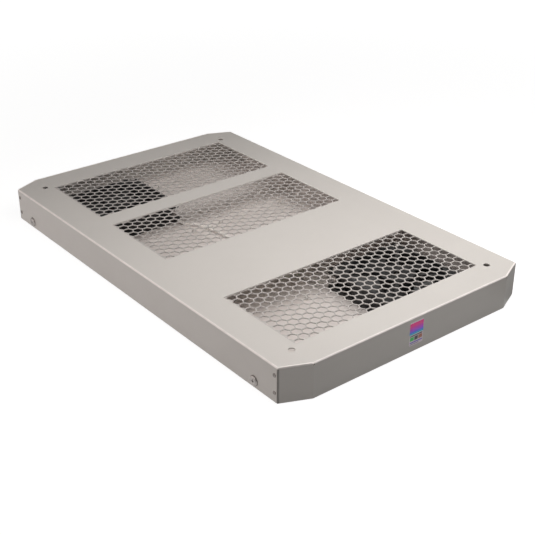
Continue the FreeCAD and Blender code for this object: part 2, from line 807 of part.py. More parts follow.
def make_impeller(fan, x, y):
    """The hub cup with its blades: each blade is lofted from a steep root to a flatter, swept tip."""
    label = fan + "_impeller"
    body = new_body(label)
    root = blade_section(body, label + "_root", "hub_radius - 0.8 * hub_wall", "root_reach", "0")
    tip = blade_section(body, label + "_tip", "bore_radius", "tip_reach", "tip_sweep")
    loft = body.newObject("PartDesign::AdditiveLoft", label + "_blade")
    loft.Profile = root
    loft.Sections = [tip]
    loft.Ruled = True
    doc.recompute()
    blades = polar(body, loft, "blade_count", label + "_blades")
    doc.recompute()
    trim = new_sketch(body, label + "_tips", "XZ_Plane")
    rectangle(trim, "bore_radius - tip_gap", "0", "fan_side", "fan_depth")
    revolve(body, trim, label + "_tip_trim", cut=True)

    hub = new_sketch(body, label + "_hub", "XZ_Plane")
    inside = "hub_radius - hub_wall"
    floor = "hub_bottom + hub_floor"
    boss = f"{floor} + hub_boss_height - hub_floor"
    hole = "shaft_radius + running_fit"
    outline(hub, [
        ("0", "hub_bottom"),
        ("hub_radius - hub_edge", "hub_bottom"),
        ("hub_radius", "hub_bottom + hub_edge"),
        ("hub_radius", "hub_top"),
        (inside, "hub_top"),
        (inside, floor),
        ("hub_boss_radius", floor),
        ("hub_boss_radius", boss),
        (hole, boss),
        (hole, "hub_bottom + hub_floor / 2"),
        ("0", "hub_bottom + hub_floor / 2"),
    ])
    revolve(body, hub, label + "_cup")
    place(body, x, y, FAN_LIFT)
    return body


def make_guard(fan, x, y):
    """A flat finger guard clamped between the fan and the floor: a square plate, one ring and a disc on four arms."""
    label = fan + "_guard"
    body = new_body(label)
    plan = new_sketch(body, label + "_plan")
    half_side = "fan_side / 2"
    outline(plan, eight_sided(half_side, half_side, "fan_corner", "fan_corner"))
    circle(plan, "0", "0", "opening_radius")
    pad(body, plan, "guard_sheet", label + "_plate")
    arm = new_sketch(body, label + "_arm")
    half = "guard_arm_width / 2"
    rectangle(arm, "guard_disc_radius - guard_arm_width", f"-{half}", "opening_radius + guard_arm_width / 5", half)
    polar(body, pad(body, arm, "guard_sheet", label + "_bar"), "4", label + "_bars")
    rings = new_sketch(body, label + "_rings")
    circle(rings, "0", "0", "guard_disc_radius")
    circle(rings, "0", "0", "guard_ring_radius")
    circle(rings, "0", "0", "guard_ring_radius + guard_ring_width")
    pad(body, rings, "guard_sheet", label + "_ring")
    holes = new_sketch(body, label + "_holes")
    for sign_x, sign_y in CORNERS:
        at_x = signed("hole_spacing / 2", sign_x)
        at_y = signed("hole_spacing / 2", sign_y)
        screw_hole(holes, at_x, at_y, "screw_radius + hole_clearance")
    pocket(body, holes, "guard_sheet", label + "_screw_holes")
    place(body, x, y, "base_sheet")
    return body


def make_fan_screws(fan, x, y):
    """Four long screws down through the frame's corners, the guard's eyes and the floor."""
    screws = []
    for sign_x, sign_y in CORNERS:
        head = prism("fan_head", 6, "screw_head_radius", "screw_head_height")
        length = f"{FAN_LIFT} + fan_depth"
        shank = prism("fan_shank", 8, "screw_radius", length)
        shank.setExpression("Placement.Base.z", bound(f"-({length})"))
        screw = combine("Fuse", "fan_screw", head, shank)
        at_x = f"{x} + {sign_x} * hole_spacing / 2"
        at_y = f"{y} + {sign_y} * hole_spacing / 2"
        place(screw, at_x, at_y, length)
        screws.append(screw)
    return group(fan + "_screws", screws)


def make_fan(fan, x, y):
    make_fan_frame(fan, x, y)
    make_spider(fan, x, y)
    make_stator(fan, x, y)
    make_bush(fan, x, y)
    make_impeller(fan, x, y)
    make_magnet(fan, x, y)
    make_shaft(fan, x, y)
    make_guard(fan, x, y)
    make_fan_screws(fan, x, y)


# ---- wiring ---------------------------------------------------------------------------------------------------------


LEAD_RISE = "base_sheet + blank_sheet + fit_gap + lead_height / 2"


def make_terminal_block():
    """A screw terminal block on the floor, stepped on both long sides, with three screw wells."""
    label = "terminal_block"
    body = new_body(label)
    profile = new_sketch(body, label + "_profile", "YZ_Plane", "-block_width / 2")
    half = "block_length / 2"
    inner = "block_length / 2 - block_step"
    outline(profile, [
        (f"-({half})", "0"),
        (half, "0"),
        (half, "block_foot"),
        (inner, "block_foot"),
        (inner, "block_height"),
        (f"-({inner})", "block_height"),
        (f"-({inner})", "block_foot"),
        (f"-({half})", "block_foot"),
    ])
    pad(body, profile, "block_width", label + "_moulding")
    wells = new_sketch(body, label + "_well_plan", lift="block_height - block_well_depth")
    for step in (-1, 0, 1):
        screw_hole(wells, f"{step} * block_well_pitch", "0", "block_well_radius")
    pocket(body, wells, "block_well_depth", label + "_wells")
    place(body, "0", "-block_row", "base_sheet")
    return body


def make_earth_stud():
    """A threaded earth stud on the floor with its nut."""
    stud = primitive("Cylinder", "stud_rod", Radius="stud_radius", Height="stud_height")
    nut = prism("stud_nut", 6, "stud_nut_radius", "stud_nut_height")
    both = combine("Fuse", "earth_stud", stud, nut)
    place(both, "stud_across", "-block_row", "base_sheet")
    return register(both, "earth_stud")


def make_grommet():
    """A rubber grommet in the rear wall, where the supply cord comes out."""
    label = "cable_grommet"
    body = new_body(label)
    profile = new_sketch(body, label + "_profile", "XZ_Plane")
    lip = "grommet_lip_height"
    outline(profile, [
        ("grommet_bore", f"-cover_sheet - {lip}"),
        ("grommet_lip", f"-cover_sheet - {lip}"),
        ("grommet_lip", "-cover_sheet"),
        ("grommet_neck", "-cover_sheet"),
        ("grommet_neck", "0"),
        ("grommet_lip", "0"),
        ("grommet_lip", lip),
        ("grommet_bore", lip),
    ])
    revolve(body, profile, label + "_ring")
    body.Placement = Placement(Vector(), Rotation(Vector(1, 0, 0), -90))
    place(body, GROMMET_ACROSS, "tray_length / 2", "grommet_rise")
    return body


def lead_path(points):
    """Straight runs joined by tangent arcs; each arc is as large as its two runs allow."""
    edges = []
    last = points[0]
    for before, corner, after in zip(points, points[1:], points[2:]):
        back = (before - corner).normalize()
        ahead = (after - corner).normalize()
        half_turn = (math.pi - back.getAngle(ahead)) / 2
        cut = 0.45 * min((before - corner).Length, (after - corner).Length)
        radius = cut / math.tan(half_turn)
        start = corner + back * cut
        end = corner + ahead * cut
        centre = corner + (back + ahead).normalize() * (radius / math.cos(half_turn))
        middle = centre + (corner - centre).normalize() * radius
        print(f"lead bend radius {radius:.1f} mm")
        edges.append(Part.LineSegment(last, start).toShape())
        edges.append(Part.Arc(start, middle, end).toShape())
        last = end
    edges.append(Part.LineSegment(last, points[-1]).toShape())
    return Part.Wire(edges)


def make_lead(label, points):
    """A flat two-core lead swept along its path."""
    path = lead_path(points)
    start = points[0]
    ahead = (points[1] - start).normalize()
    across = Vector(-ahead.y, ahead.x, 0) * size("lead_width / 2")
    up = Vector(0, 0, size("lead_height / 2"))
    corners = [start + across + up, start - across + up, start - across - up, start + across - up]
    section = Part.makePolygon(corners + corners[:1])
    solid = path.makePipeShell([section], True, False)
    expected = size("lead_width * lead_height") * path.Length
    print(f"{label}: volume is {solid.Volume / expected:.4f} of section times length")
    item = doc.addObject("Part::Feature", label)
    item.Shape = solid
    return register(item, label)


def lead_points(start_x, start_y, route):
    rise = size(LEAD_RISE)
    return [Vector(size(start_x), size(start_y), rise)] + [Vector(x, y, rise) for x, y in route]


def make_clips(points):
    """Saddles that hold the rear fan's lead to the floor at the middle of two of its runs."""
    clips = []
    for start, end in list(zip(points, points[1:]))[CLIPPED_RUNS]:
        height = size(f"{LEAD_RISE} - base_sheet + lead_height / 2 + fit_gap + clip_top")
        saddle = Part.makeBox(size("clip_width"), size("clip_length"), height)
        saddle.translate(Vector(-size("clip_width") / 2, -size("clip_length") / 2, 0))
        wide = size("lead_width + 2 * fit_gap")
        tall = size("lead_height + 2 * fit_gap")
        tunnel = Part.makeBox(wide, 2 * size("clip_length"), tall)
        tunnel.translate(Vector(-wide / 2, -size("clip_length"), size(f"{LEAD_RISE} - base_sheet") - tall / 2))
        clip = saddle.cut(tunnel)
        turn = math.degrees(math.atan2(end.x - start.x, start.y - end.y))
        middle = (start + end) / 2
        clip.Placement = Placement(Vector(middle.x, middle.y, size("base_sheet")), Rotation(Vector(0, 0, 1), turn))
        clips.append(clip)
    item = doc.addObject("Part::Feature", "lead_clips")
    item.Shape = Part.makeCompound(clips)
    return register(item, "lead_clips")


def make_wiring():
    make_terminal_block()
    make_earth_stud()
    make_grommet()
    front_points = lead_points("lead_across", "-end_row + fan_shift + fan_side / 2", FRONT_LEAD)
    rear_points = lead_points("-lead_across", "end_row - fan_shift - fan_side / 2", REAR_LEAD)
    make_lead("front_fan_lead", front_points)
    make_lead("rear_fan_lead", rear_points)
    make_clips(rear_points)


# ---- the tray -------------------------------------------------------------------------------------------------------


make_top_cover()
make_rear_wall()
for mesh_label, mesh_row in MESH_ROWS.items():
    make_mesh(mesh_label, mesh_row)
make_base_plate()
make_rail("left_rail", -1)
make_rail("right_rail", 1)
for blank_label, (blank_x, blank_y) in BLANKS.items():
    make_blank(blank_label, blank_x, blank_y)
make_blank_screws()
make_corner_rivets()
make_side_screws()
make_side_nuts()
for fan_label, (fan_x, fan_y) in FANS.items():
    make_fan(fan_label, fan_x, fan_y)
make_wiring()
doc.recompute()

for item in doc.Objects:
    if any(word in item.State for word in ("Invalid", "Error")):
        raise RuntimeError(f"{item.Label} did not recompute: {item.State}")
for item in parts:
    if item.Shape.isNull() or not item.Shape.isValid() or not item.Shape.Solids:
        raise RuntimeError(f"{item.Label} has no valid solid")
os.makedirs("parts", exist_ok=True)
for item in parts:
    item.Shape.exportStep(f"parts/{item.Label}.step")
    print(f"{item.Label}: {len(item.Shape.Solids)} solid(s), {item.Shape.Volume:.1f} mm3")
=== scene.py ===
import math

import bmesh
import bpy
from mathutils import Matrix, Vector


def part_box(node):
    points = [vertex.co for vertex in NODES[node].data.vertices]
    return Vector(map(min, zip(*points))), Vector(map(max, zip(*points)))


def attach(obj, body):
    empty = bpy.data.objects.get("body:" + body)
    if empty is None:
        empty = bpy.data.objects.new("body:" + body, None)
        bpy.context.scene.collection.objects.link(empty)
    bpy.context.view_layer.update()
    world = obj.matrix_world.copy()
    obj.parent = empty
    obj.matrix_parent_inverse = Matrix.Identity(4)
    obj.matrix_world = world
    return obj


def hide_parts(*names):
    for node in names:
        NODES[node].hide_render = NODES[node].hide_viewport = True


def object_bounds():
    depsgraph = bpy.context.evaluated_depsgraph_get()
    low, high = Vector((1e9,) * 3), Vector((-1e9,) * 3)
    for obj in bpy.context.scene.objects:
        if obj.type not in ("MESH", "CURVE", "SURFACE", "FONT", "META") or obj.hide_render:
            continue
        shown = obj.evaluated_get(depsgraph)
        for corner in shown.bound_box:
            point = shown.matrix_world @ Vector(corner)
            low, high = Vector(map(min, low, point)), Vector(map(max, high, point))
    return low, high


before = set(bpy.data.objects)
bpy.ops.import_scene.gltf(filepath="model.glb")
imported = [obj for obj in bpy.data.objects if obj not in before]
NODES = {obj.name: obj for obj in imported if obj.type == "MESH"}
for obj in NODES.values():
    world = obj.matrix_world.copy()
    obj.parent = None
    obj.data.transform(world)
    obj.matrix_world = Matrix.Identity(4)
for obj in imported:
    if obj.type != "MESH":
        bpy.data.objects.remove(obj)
CAD_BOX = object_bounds()
FANS = ("front_fan", "rear_fan")


# ---- the camera -----------------------------------------------------------------------------------------------------

lens = bpy.data.cameras.new("lens")
lens.lens = 69.38
lens.sensor_width = 36.0
lens.clip_start = 0.05
camera = bpy.data.objects.new("camera", lens)
bpy.context.scene.collection.objects.link(camera)
camera.location = (-0.7310, -0.9564, 0.6149)
view_direction = Vector((0.5508, 0.6917, -0.4672))
camera.rotation_euler = view_direction.to_track_quat("-Z", "Y").to_euler()
bpy.context.scene.camera = camera


# ---- finishes: effects that several materials share -----------------------------------------------------------------

# The Mix node has several sockets of each name, so its colour sockets go by their places.
MIX_SHARE = 0
MIX_COLOURS = (6, 7)
MIX_RESULT = 2


def new_group(name, inputs, outputs):
    """A node group with its inputs (name, kind, default) and outputs (name, kind) already in place."""
    group = bpy.data.node_groups.new(name, "ShaderNodeTree")
    for title, kind, default in inputs:
        socket = group.interface.new_socket(title, in_out="INPUT", socket_type="NodeSocket" + kind)
        socket.default_value = default
    for title, kind in outputs:
        group.interface.new_socket(title, in_out="OUTPUT", socket_type="NodeSocket" + kind)
    start = group.nodes.new("NodeGroupInput")
    end = group.nodes.new("NodeGroupOutput")
    return group, start, end


def new_material(name):
    """A material with its node tree and its Principled shader."""
    made = bpy.data.materials.new(name)
    made.use_nodes = True
    tree = made.node_tree
    return made, tree, next(n for n in tree.nodes if n.type == "BSDF_PRINCIPLED")


def node(tree, kind, **settings):
    """Adds a node; a setting whose name is a socket's goes to that socket, and any other to the node."""
    made = tree.nodes.new(kind)
    for name, value in settings.items():
        title = name.replace("_", " ")
        if title in made.inputs:
            made.inputs[title].default_value = value
        else:
            setattr(made, name, value)
    return made


def join(tree, start, out, end, into):
    tree.links.new(start.outputs[out], end.inputs[into])


def maths(tree, operation, first, second=0):
    """The (node, output) pair of a Math node; each of its two inputs is a number or such a pair."""
    made = node(tree, "ShaderNodeMath", operation=operation)
    for place, value in enumerate((first, second)):
        if isinstance(value, tuple):
            join(tree, *value, made, place)
        else:
            made.inputs[place].default_value = value
    return made, "Value"


def mix_colours(tree, share, first, second):
    """The (node, output) pair of a mix of two colours; each is four numbers or such a pair."""
    made = node(tree, "ShaderNodeMix", data_type="RGBA")
    join(tree, *share, made, MIX_SHARE)
    for place, value in zip(MIX_COLOURS, (first, second)):
        if isinstance(value[0], (int, float)):
            made.inputs[place].default_value = value
        else:
            join(tree, *value, made, place)
    return made, MIX_RESULT


def noise_at(tree, scale, detail, roughness=0.5, stretch=None):
    """Noise on Object coordinates, as a (node, output) pair; the scale is in lumps per metre."""
    place = node(tree, "ShaderNodeTexCoord")
    pattern = node(tree, "ShaderNodeTexNoise")
    if isinstance(scale, tuple):
        join(tree, *scale, pattern, "Scale")
    else:
        pattern.inputs["Scale"].default_value = scale
    pattern.inputs["Detail"].default_value = detail
    pattern.inputs["Roughness"].default_value = roughness
    if stretch:
        turn = node(tree, "ShaderNodeMapping", Scale=stretch)
        join(tree, place, "Object", turn, "Vector")
        join(tree, turn, "Vector", pattern, "Vector")
    else:
        join(tree, place, "Object", pattern, "Vector")
    return pattern, "Fac"


def ramp(tree, source, low, high, from_low=0.35, from_high=0.65):
    """Carries a value from one range to another, and holds it at the ends."""
    made = node(tree, "ShaderNodeMapRange", From_Min=from_low, From_Max=from_high, To_Min=low, To_Max=high)
    join(tree, *source, made, "Value")
    return made, "Result"


def split(tree, source):
    """The X, Y and Z of a vector, each as a (node, output) pair."""
    parts = node(tree, "ShaderNodeSeparateXYZ")
    join(tree, *source, parts, "Vector")
    return [(parts, axis) for axis in "XYZ"]


def object_axes(tree):
    return split(tree, (node(tree, "ShaderNodeTexCoord"), "Object"))


def normal_axes(tree):
    return split(tree, (node(tree, "ShaderNodeNewGeometry"), "Normal"))


def roughen(group, start, end, pattern, low, high):
    """Adds a pattern, brought between two limits, to the skin's gloss, and gives the sum out as its roughness."""
    varied = ramp(group, pattern, low, high)
    join(group, *maths(group, "ADD", varied, (start, "Gloss")), end, "Roughness")


def make_powder_coat():
    """Baked powder paint: a fine pebbled skin, faint flow patches, and a little dulling where it is handled."""
    group, start, end = new_group(
        "powder_coat",
        [("Colour", "Color", (0.6, 0.57, 0.53, 1)), ("Grain", "Float", 1500.0), ("Patches", "Float", 0.04),
         ("Gloss", "Float", 0.42)],
        [("Colour", "Color"), ("Roughness", "Float"), ("Height", "Float")],
    )
    patches = ramp(group, noise_at(group, scale=9.0, detail=3.0), 0.0, 1.0)
    flecks = ramp(group, noise_at(group, scale=(start, "Grain"), detail=1.0), 0.0, 0.05)
    darkened = maths(group, "ADD", maths(group, "MULTIPLY", patches, (start, "Patches")), flecks)
    darker = node(group, "ShaderNodeHueSaturation", Value=0.55)
    join(group, start, "Colour", darker, "Color")
    join(group, *mix_colours(group, darkened, (start, "Colour"), (darker, "Color")), end, "Colour")
    roughen(group, start, end, noise_at(group, scale=60.0, detail=4.0, roughness=0.6), -0.05, 0.06)
    join(group, *noise_at(group, scale=(start, "Grain"), detail=2.0, roughness=0.45), end, "Height")
    return group


def make_metal_skin():
    """Plated or ground metal: fine drawn lines, cloudy patches in the plating, and tiny pits."""
    group, start, end = new_group(
        "metal_skin",
        [("Colour", "Color", (0.6, 0.6, 0.6, 1)), ("Tint", "Color", (0.5, 0.5, 0.45, 1)), ("Grain", "Float", 900.0),
         ("Gloss", "Float", 0.3)],
        [("Colour", "Color"), ("Roughness", "Float"), ("Height", "Float")],
    )
    clouds = ramp(group, noise_at(group, scale=90.0, detail=4.0, roughness=0.6), 0.0, 1.0)
    join(group, *mix_colours(group, clouds, (start, "Colour"), (start, "Tint")), end, "Colour")
    lines = noise_at(group, scale=(start, "Grain"), detail=2.0, stretch=(1.0, 0.12, 1.0))
    roughen(group, start, end, lines, -0.06, 0.1)
    join(group, *lines, end, "Height")
    return group


def make_moulded_skin():
    """Moulded plastic or cast paint: a fine satin texture with slight clouding."""
    group, start, end = new_group(
        "moulded_skin",
        [("Colour", "Color", (0.03, 0.03, 0.03, 1)), ("Grain", "Float", 2200.0), ("Gloss", "Float", 0.45)],
        [("Colour", "Color"), ("Roughness", "Float"), ("Height", "Float")],
    )
    clouds = ramp(group, noise_at(group, scale=50.0, detail=3.0), 0.0, 0.5)
    lighter = node(group, "ShaderNodeHueSaturation", Value=1.35)
    join(group, start, "Colour", lighter, "Color")
    join(group, *mix_colours(group, clouds, (start, "Colour"), (lighter, "Color")), end, "Colour")
    texture = noise_at(group, scale=(start, "Grain"), detail=2.0)
    roughen(group, start, end, texture, -0.06, 0.08)
    join(group, *texture, end, "Height")
    return group


def mask_out(group, start, end, *factors):
    """Multiplies what makes up a mask with the mask's own amount, and gives the product out."""
    mask = factors[0]
    for factor in (*factors[1:], (start, "Amount")):
        mask = maths(group, "MULTIPLY", mask, factor)
    join(group, *mask, end, "Mask")
    return group


def make_edge_wear_and_sheen():
    """A mask that finds the thin line along each outside edge, broken up as rubbing leaves it; its pale colour is worn
    paint, and on the cover partly a painted highlight where the edges catch the light.
    """
    group, start, end = new_group(
        "edge_wear_and_sheen", [("Width", "Float", 0.0006), ("Amount", "Float", 1.0)], [("Mask", "Float")]
    )
    rounded = node(group, "ShaderNodeBevel", samples=4)
    join(group, start, "Width", rounded, "Radius")
    flat = node(group, "ShaderNodeNewGeometry")
    apart = node(group, "ShaderNodeVectorMath", operation="DOT_PRODUCT")
    join(group, rounded, "Normal", apart, 0)
    join(group, flat, "Normal", apart, 1)
    edge = ramp(group, (apart, "Value"), 1.0, 0.0, from_low=0.80, from_high=0.99)
    rub_and_sheen = noise_at(group, scale=140.0, detail=3.0, roughness=0.6)
    broken = ramp(group, rub_and_sheen, 0.25, 1.0, from_low=0.38, from_high=0.6)
    return mask_out(group, start, end, edge, broken)


def make_bend_highlight():
    """A mask of the painted highlight: a paler line painted along the housing's outer bends, where they catch the
    light, a little broken up.
    """
    group, start, end = new_group(
        "bend_highlight",
        [("Half Width", "Float", 0.184), ("Half Length", "Float", 0.301), ("Top", "Float", 0.0436),
         ("Cut Across", "Float", 0.035), ("Cut Along", "Float", 0.0157), ("Amount", "Float", 0.7)],
        [("Mask", "Float")],
    )
    x, y, z = object_axes(group)
    cut_across, cut_along = (start, "Cut Across"), (start, "Cut Along")
    across = maths(group, "SUBTRACT", maths(group, "ABSOLUTE", x), (start, "Half Width"))
    along = maths(group, "SUBTRACT", maths(group, "ABSOLUTE", y), (start, "Half Length"))
    # How far a point lies beyond the slanting corner, from the two distances and the corner's own cuts.
    slant = maths(
        group, "ADD", maths(group, "MULTIPLY", across, cut_along), maths(group, "MULTIPLY", along, cut_across),
    )
    slant = maths(group, "ADD", slant, maths(group, "MULTIPLY", cut_along, cut_across))
    squares = maths(group, "ADD", maths(group, "POWER", cut_along, 2), maths(group, "POWER", cut_across, 2))
    slant = maths(group, "DIVIDE", slant, maths(group, "SQRT", squares))
    rim = maths(group, "MAXIMUM", maths(group, "MAXIMUM", across, along), slant)
    depth = maths(group, "SUBTRACT", z, (start, "Top"))
    bend = ramp(group, maths(group, "ADD", rim, depth), 0.0, 1.0, from_low=-0.0021, from_high=-0.0013)
    rub_and_sheen = noise_at(group, scale=70.0, detail=4.0, roughness=0.6)
    broken = ramp(group, rub_and_sheen, 0.7, 1.0, from_low=0.35, from_high=0.6)
    return mask_out(group, start, end, bend, broken)


def make_seam_shade():
    """A mask of the painted shade: a dark line painted beside the open seam at each upright corner of the housing,
    where the gap's shadow falls.
    """
    group, start, end = new_group(
        "seam_shade",
        [("Half Width", "Float", 0.184), ("Wall End", "Float", 0.2853), ("Top", "Float", 0.0416),
         ("Reach", "Float", 0.0022), ("Amount", "Float", 0.6)],
        [("Mask", "Float")],
    )
    x, y, z = object_axes(group)
    inward = maths(group, "SUBTRACT", (start, "Half Width"), maths(group, "ABSOLUTE", x))
    near = maths(group, "DIVIDE", inward, (start, "Reach"))
    fading = ramp(group, near, 1.0, 0.0, from_low=0.45, from_high=1.0)
    past = maths(group, "GREATER_THAN", maths(group, "ABSOLUTE", y), (start, "Wall End"))
    below = maths(group, "LESS_THAN", z, (start, "Top"))
    return mask_out(group, start, end, fading, past, below)


def make_dust():
    """A mask of the fine dust that settles on faces that look up, thicker in patches."""
    group, start, end = new_group("settled_dust", [("Amount", "Float", 0.3)], [("Mask", "Float")])
    facing_up = normal_axes(group)[2]
    upward = ramp(group, facing_up, 0.0, 1.0, from_low=0.2, from_high=1.0)
    patches = ramp(group, noise_at(group, scale=35.0, detail=5.0, roughness=0.6), 0.35, 1.0)
    return mask_out(group, start, end, upward, patches)


SKINS = {
    "powder_coat": make_powder_coat(),
    "metal_skin": make_metal_skin(),
    "moulded_skin": make_moulded_skin(),
}
EDGE_WEAR_AND_SHEEN = make_edge_wear_and_sheen()
DUST = make_dust()
BEND_HIGHLIGHT = make_bend_highlight()
SEAM_SHADE = make_seam_shade()

# The colour of the painted shade beside the corner seams.
SEAM_SHADE_COLOUR = (0.02, 0.018, 0.017)
DUST_COLOUR = (0.36, 0.34, 0.31)
# A face looks down where its normal's Z is below this.
DOWNWARD = -0.5


def lay_over(tree, shown, colour, mask_group, **values):
    """Lays a colour over what is already there, as far as a group's mask lets it show."""
    mask = node(tree, "ShaderNodeGroup", node_tree=mask_group, **values)
    return mix_colours(tree, (mask, "Mask"), shown, (*colour, 1))


def make_finish(name, skin, colour, relief, metal=0.0, wear_and_sheen=None, rub_and_sheen=None, seam=0.0, dust=0.0, underside=None,
                values=(), **shader):
    """A finish: one of the shared skins, with pale edges, painted highlight and shade, and dust on top, on a
    Principled shader.

    relief is the depth of the grain in metres. The edge value is (colour, width, amount): a pale line along the edges,
    worn paint that on the cover is partly a painted highlight. The bend value is (colour, amount): a painted highlight
    along the housing's bends. seam is how dark the painted shade beside the corner seams is, dust is how much lies on
    faces that look up, and underside is the colour of faces that look down. values are the skin's own values, and
    whatever else is named goes straight on the shader's sockets.
    """
    made, tree, principled = new_material(name)
    surface = node(tree, "ShaderNodeGroup", node_tree=SKINS[skin], Colour=(*colour, 1))
    for title, value in values:
        surface.inputs[title].default_value = value
    shown = (surface, "Colour")
    # Pale edges: worn paint, and on the cover also a painted highlight where its edges catch the light.
    if wear_and_sheen:
        edge_colour, width, amount = wear_and_sheen
        shown = lay_over(tree, shown, edge_colour, EDGE_WEAR_AND_SHEEN, Width=width, Amount=amount)
    # A painted highlight along the housing's bends.
    if rub_and_sheen:
        highlight_colour, amount = rub_and_sheen
        shown = lay_over(tree, shown, highlight_colour, BEND_HIGHLIGHT, Amount=amount)
    # A painted shade beside the corner seams.
    if seam:
        shown = lay_over(tree, shown, SEAM_SHADE_COLOUR, SEAM_SHADE, Amount=seam)
    if dust:
        shown = lay_over(tree, shown, DUST_COLOUR, DUST, Amount=dust)
    if underside:
        looks_down = maths(tree, "LESS_THAN", normal_axes(tree)[2], DOWNWARD)
        shown = mix_colours(tree, looks_down, shown, (*underside, 1))
    join(tree, *shown, principled, "Base Color")
    join(tree, surface, "Roughness", principled, "Roughness")
    bump = node(tree, "ShaderNodeBump", Distance=relief, Strength=1.0)
    join(tree, surface, "Height", bump, "Height")
    join(tree, bump, "Normal", principled, "Normal")
    principled.inputs["Metallic"].default_value = metal
    for title, value in shader.items():
        principled.inputs[title.replace("_", " ")].default_value = value
    return made


def linear(red, green, blue):
    """A colour as it is seen, from 0 to 255 a channel, as the shader needs it."""
    def channel(value):
        share = value / 255
        return share / 12.92 if share <= 0.04045 else ((share + 0.055) / 1.055) ** 2.4
    return tuple(channel(value) for value in (red, green, blue))


# The folded sheets are paler underneath, where light from the floor comes back.
PALE_UNDERSIDE = linear(246, 242, 239)

# The cover has a painted highlight along its bends, a painted shade beside its corner seams, and pale edges that are
# partly worn paint and partly a painted highlight.
COVER_PAINT = make_finish(
    "cover_powder_coat", "powder_coat", linear(210, 206, 201), relief=0.00006,
    wear_and_sheen=(linear(240, 234, 230), 0.0006, 0.6), rub_and_sheen=(linear(254, 247, 243), 0.85), seam=0.6, underside=PALE_UNDERSIDE,
    values=[("Grain", 1400.0), ("Patches", 0.05), ("Gloss", 0.40)], Specular_IOR_Level=0.3,
)
MESH_PAINT = make_finish(
    "mesh_powder_coat", "powder_coat", linear(192, 187, 183), relief=0.00005, underside=PALE_UNDERSIDE,
    values=[("Grain", 1700.0), ("Patches", 0.03), ("Gloss", 0.42)],
)
FLOOR_PAINT = make_finish(
    "floor_powder_coat", "powder_coat", linear(234, 227, 223), relief=0.00006, dust=0.04,
    values=[("Grain", 1400.0), ("Patches", 0.04), ("Gloss", 0.45)],
)
BLANK_PAINT = make_finish(
    "blank_powder_coat", "powder_coat", linear(230, 223, 219), relief=0.00006, dust=0.05,
    values=[("Grain", 1300.0), ("Patches", 0.04), ("Gloss", 0.45)],
)
ZINC = make_finish(
    "bright_zinc", "metal_skin", linear(252, 250, 247), relief=0.000005, metal=0.8,
    values=[("Tint", (*linear(244, 240, 234), 1)), ("Gloss", 0.17)],
)
DULL_ZINC = make_finish(
    "dull_zinc", "metal_skin", linear(176, 170, 166), relief=0.00001, metal=0.7,
    wear_and_sheen=(linear(222, 218, 214), 0.0004, 0.6), values=[("Tint", (*linear(150, 145, 142), 1)), ("Gloss", 0.40)],
)
RIVET_STEEL = make_finish(
    "rivet_head", "metal_skin", linear(158, 152, 148), relief=0.00001, metal=0.5,
    values=[("Tint", (*linear(128, 123, 119), 1)), ("Gloss", 0.5)],
)
GUARD_STEEL = make_finish(
    "guard_plate", "metal_skin", linear(196, 197, 197), relief=0.00001, metal=1.0,
    values=[("Tint", (*linear(176, 176, 170), 1)), ("Gloss", 0.28)],
)
FRAME_BLACK = make_finish(
    "fan_frame_paint", "moulded_skin", linear(24, 24, 25), relief=0.00004, dust=0.02,
    wear_and_sheen=(linear(62, 62, 64), 0.0004, 0.4), values=[("Grain", 1500.0), ("Gloss", 0.5)],
)
BLADE_BLACK = make_finish(
    "blade_moulding", "moulded_skin", linear(28, 28, 29), relief=0.00002, dust=0.03,
    wear_and_sheen=(linear(60, 60, 62), 0.0003, 0.4), values=[("Grain", 2400.0), ("Gloss", 0.46)],
)
RUBBER = make_finish(
    "grommet_rubber", "moulded_skin", linear(32, 32, 33), relief=0.00004, values=[("Grain", 1800.0), ("Gloss", 0.62)],
)
BLOCK = make_finish(
    "block_moulding", "moulded_skin", linear(226, 223, 212), relief=0.00002, dust=0.1, values=[("Gloss", 0.32)],
    Subsurface_Weight=0.05,
)
NYLON = make_finish("clip_nylon", "moulded_skin", linear(230, 226, 221), relief=0.00002, values=[("Gloss", 0.4)])
LEAD = make_finish("lead_sheath", "moulded_skin", linear(238, 233, 228), relief=0.00002, values=[("Gloss", 0.5)])
COPPER = make_finish(
    "winding_wire", "metal_skin", linear(176, 104, 62), relief=0.00008, metal=0.9,
    values=[("Tint", (*linear(120, 62, 36), 1)), ("Grain", 3000.0), ("Gloss", 0.3)],
)
FERRITE = make_finish("ring_magnet", "moulded_skin", linear(62, 61, 60), relief=0.00003, values=[("Gloss", 0.6)])
SHAFT = make_finish(
    "ground_shaft", "metal_skin", linear(205, 206, 208), relief=0.000004, metal=1.0,
    values=[("Tint", (*linear(190, 191, 194), 1)), ("Gloss", 0.16)],
)
BRONZE = make_finish(
    "sintered_bush", "metal_skin", linear(178, 142, 88), relief=0.00003, metal=1.0,
    values=[("Tint", (*linear(150, 116, 70), 1)), ("Gloss", 0.4)],
)

CAD_FINISHES = {
    "top_cover": COVER_PAINT, "rear_wall": COVER_PAINT, "left_rail": FLOOR_PAINT, "right_rail": FLOOR_PAINT,
    "front_mesh": MESH_PAINT, "middle_mesh": MESH_PAINT, "rear_mesh": MESH_PAINT, "base_plate": FLOOR_PAINT,
    "front_left_blank": BLANK_PAINT, "middle_left_blank": BLANK_PAINT, "middle_right_blank": BLANK_PAINT,
    "rear_right_blank": BLANK_PAINT, "blank_screws": ZINC, "corner_rivets": RIVET_STEEL, "side_screws": ZINC,
    "side_nuts": ZINC, "terminal_block": BLOCK, "earth_stud": ZINC, "cable_grommet": RUBBER, "lead_clips": NYLON,
}
FAN_FINISHES = {
    "frame": FRAME_BLACK, "spider": FRAME_BLACK, "stator": COPPER, "bush": BRONZE, "impeller": BLADE_BLACK,
    "magnet": FERRITE, "shaft": SHAFT, "guard": GUARD_STEEL, "screws": ZINC, "lead": LEAD,
}
